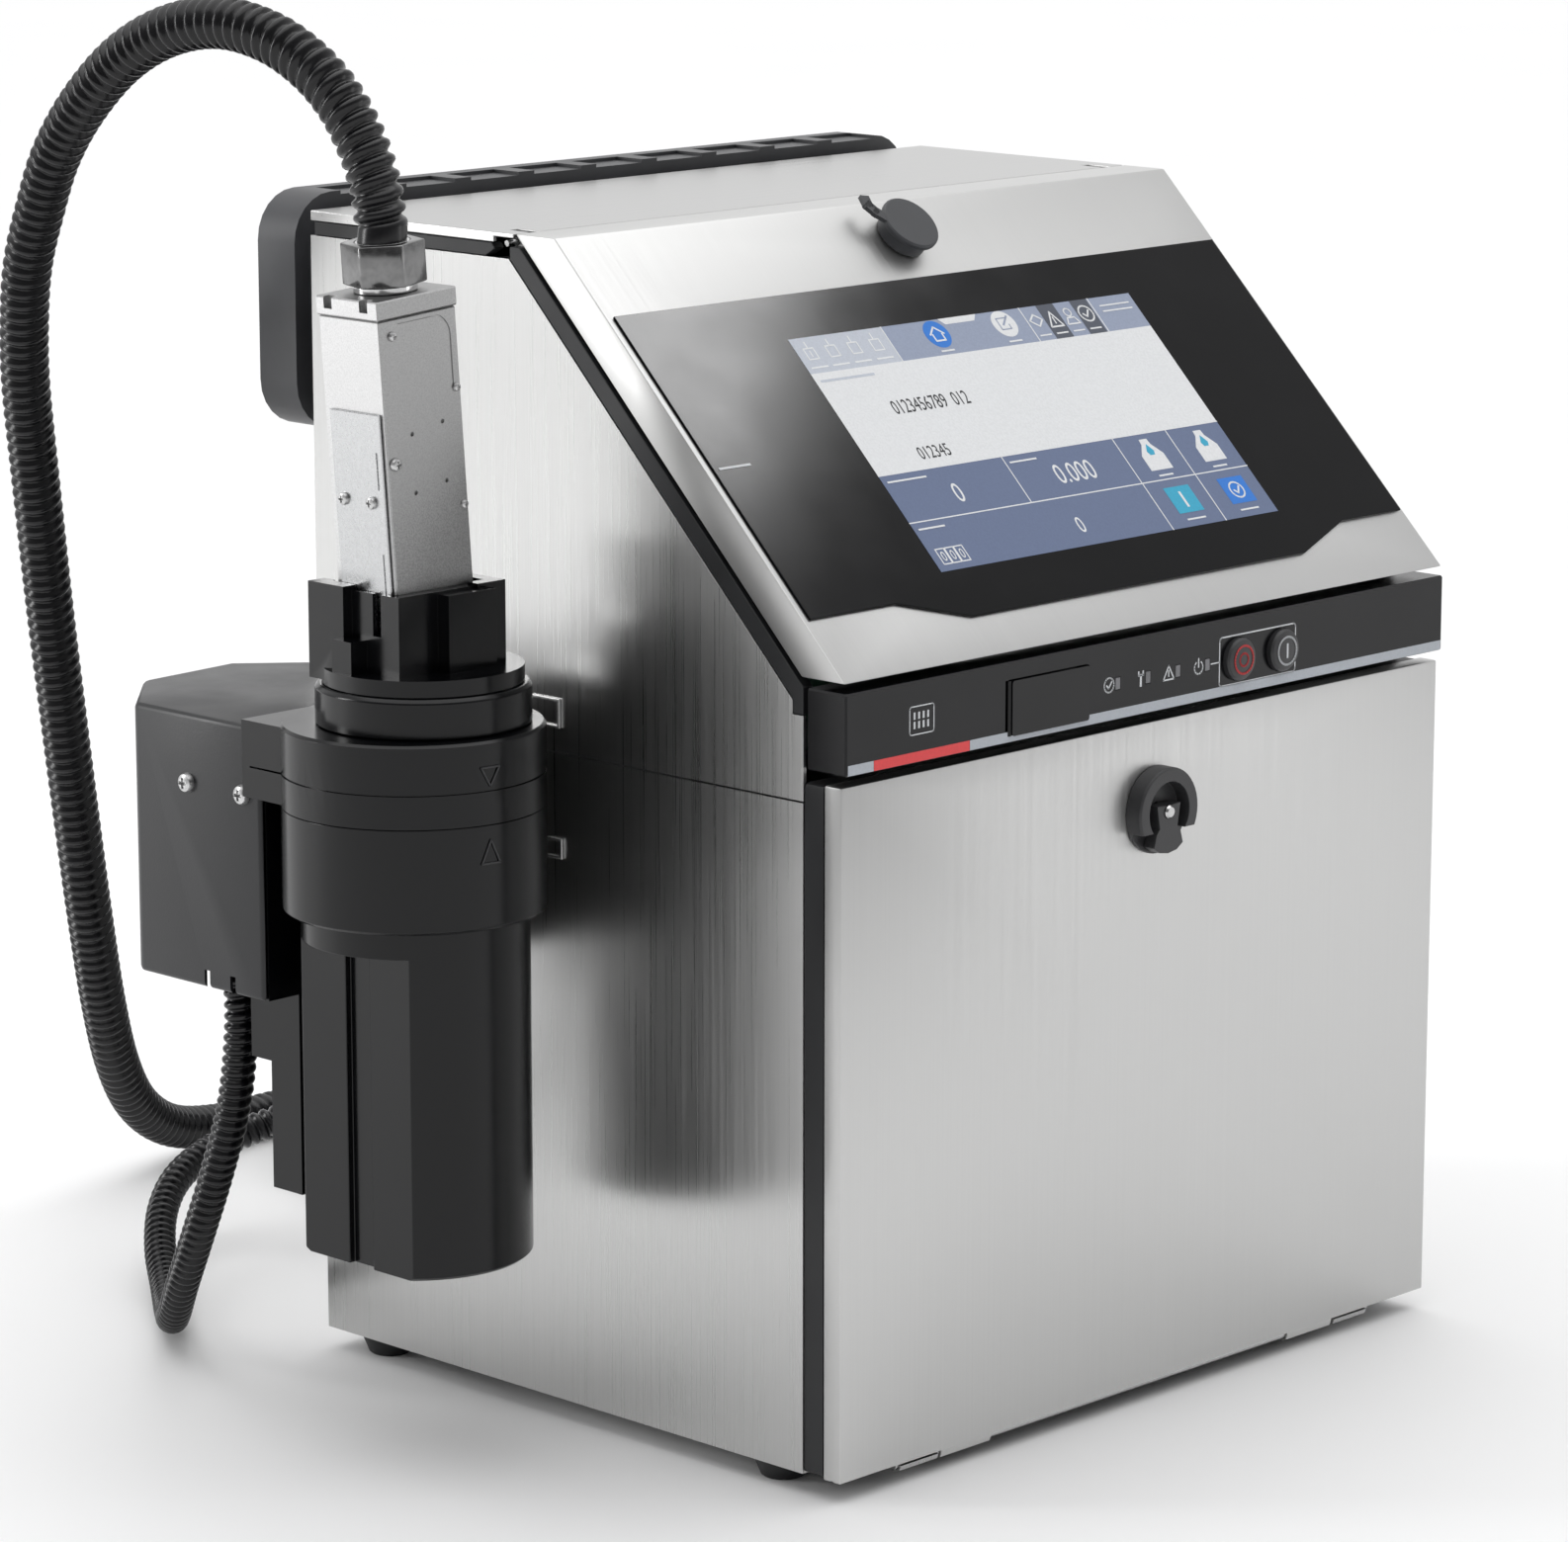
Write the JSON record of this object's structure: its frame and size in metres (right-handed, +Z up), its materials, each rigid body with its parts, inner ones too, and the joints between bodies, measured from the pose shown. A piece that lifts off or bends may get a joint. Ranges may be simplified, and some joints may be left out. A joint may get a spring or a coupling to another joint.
{
  "type": "date code inkjet printer",
  "caption": "Continuous inkjet date coder: stainless cabinet with a sloped touch console, side cleaning station, print head parked in it, and a ribbed umbilical hose.",
  "frame": {"origin": "middle of the footprint of the object without its hoses, on the surface that the feet stand on", "axes": "+X to the right seen from the door, +Y towards the back, +Z up"},
  "size_m": [0.6101, 0.6486, 0.6312],
  "materials": {
    "band_plastic": "glossy moulded",
    "black_plastic": "satin moulded",
    "black_powder_coat": "fine texture",
    "board_laminate": "solder mask",
    "bottle_plastic": "translucent moulded",
    "brushed_stainless": "satin brushed grain",
    "console_glass": "glossy back-printed panel",
    "head_alloy": "machined satin",
    "head_brass": "machined",
    "hose_plastic": "satin ribbed",
    "lamp_lens": "diffusing",
    "nickel_plate": "polished",
    "soft_rubber": "matte",
    "tank_plastic": "translucent moulded",
    "zinc_plate": "dull plated"
  },
  "bodies": {
    "cabinet": {"circuit_board": "board_laminate", "control_band": "band_plastic", "door_gasket": "soft_rubber", "door_hinge_rod": "nickel_plate", "drain_gland": "black_plastic", "drain_hose": "hose_plastic", "fan_frame": "black_plastic", "feed_pump": "black_plastic", "foot_1": "soft_rubber", "foot_2": "soft_rubber", "foot_3": "soft_rubber", "foot_4": "soft_rubber", "head_socket": "black_plastic", "indicator_lens": "lamp_lens", "ink_bottle": "tank_plastic", "ink_tank": "tank_plastic", "lid_hinge_rod": "nickel_plate", "lid_seal_left": "soft_rubber", "lid_seal_right": "soft_rubber", "lower_cabinet": "brushed_stainless", "makeup_bottle": "bottle_plastic", "mid_shelf": "zinc_plate", "port_socket": "black_plastic", "power_supply": "zinc_plate", "rear_bumper": "black_plastic", "station_box": "black_powder_coat", "station_bracket": "black_plastic", "station_collar": "black_plastic", "station_pump": "black_plastic", "station_seat": "black_plastic", "top_cover": "brushed_stainless", "top_seal_left": "soft_rubber", "top_seal_right": "soft_rubber", "umbilical_coil": "hose_plastic", "umbilical_gland": "black_plastic", "umbilical_hose": "hose_plastic", "umbilical_tail": "hose_plastic", "upper_housing": "brushed_stainless", "vent_grille": "black_plastic"},
    "console_lid": {"console_lid": "brushed_stainless", "glass_panel": "console_glass", "display_module": "black_plastic", "cap_socket": "nickel_plate"},
    "service_cap": {"service_cap": "soft_rubber"},
    "front_door": {"front_door": "brushed_stainless"},
    "latch": {"latch_dial": "black_plastic", "latch_knob": "black_plastic", "latch_spindle": "nickel_plate"},
    "port_flap": {"port_flap": "black_plastic"},
    "stop_button": {"stop_button": "soft_rubber"},
    "on_button": {"on_button": "soft_rubber"},
    "fan_rotor": {"fan_rotor": "black_plastic"},
    "station_cup": {"station_cup": "black_plastic", "station_cup_ring": "black_plastic"},
    "print_head": {"head_cover": "head_alloy", "head_side_plate": "head_alloy", "head_cap": "head_alloy", "head_neck": "nickel_plate", "hose_nut": "nickel_plate", "head_block": "head_brass"}
  },
  "joints": [
    {"name": "front_door_hinge", "type": "hinge", "parent": "cabinet", "child": "front_door", "pos_m": [0.07125, -0.1715, 0.008], "axis": [1, 0, 0], "range_deg": [0, 85]},
    {"name": "latch_turn", "type": "hinge", "parent": "front_door", "child": "latch", "pos_m": [0.07125, -0.1765, 0.273], "axis": [0, 1, 0], "range_deg": [0, 90]},
    {"name": "console_lid_hinge", "type": "hinge", "parent": "cabinet", "child": "console_lid", "pos_m": [0.07125, 0.02715, 0.5225], "axis": [-1, 0, 0], "range_deg": [0, 60]},
    {"name": "service_cap_pull", "type": "slide", "parent": "console_lid", "child": "service_cap", "axis": [0, -0.7071, 0.7071], "range_m": [0, 0.015]},
    {"name": "port_flap_hinge", "type": "hinge", "parent": "cabinet", "child": "port_flap", "pos_m": [-0.02775, -0.1789, 0.3324], "axis": [0, 0, -1], "range_deg": [0, 110]},
    {"name": "stop_button_press", "type": "slide", "parent": "cabinet", "child": "stop_button", "axis": [0, 1, 0], "range_m": [0, 0.0015], "stiffness_N_per_m": 400},
    {"name": "on_button_press", "type": "slide", "parent": "cabinet", "child": "on_button", "axis": [0, 1, 0], "range_m": [0, 0.0015], "stiffness_N_per_m": 400},
    {"name": "fan_spin", "type": "hinge", "parent": "cabinet", "child": "fan_rotor", "pos_m": [-0.01875, 0.1405, 0.4795], "axis": [0, 1, 0], "continuous": true},
    {"name": "station_cup_twist", "type": "hinge", "parent": "cabinet", "child": "station_cup", "pos_m": [-0.21475, -0.008, 0.0975], "axis": [0, 0, 1], "range_deg": [0, 20]},
    {"name": "print_head_lift", "type": "slide", "parent": "cabinet", "child": "print_head", "axis": [-0.0732, 0, 0.9973], "range_m": [0, 0.06], "deforming": ["umbilical_hose"]}
  ]
}
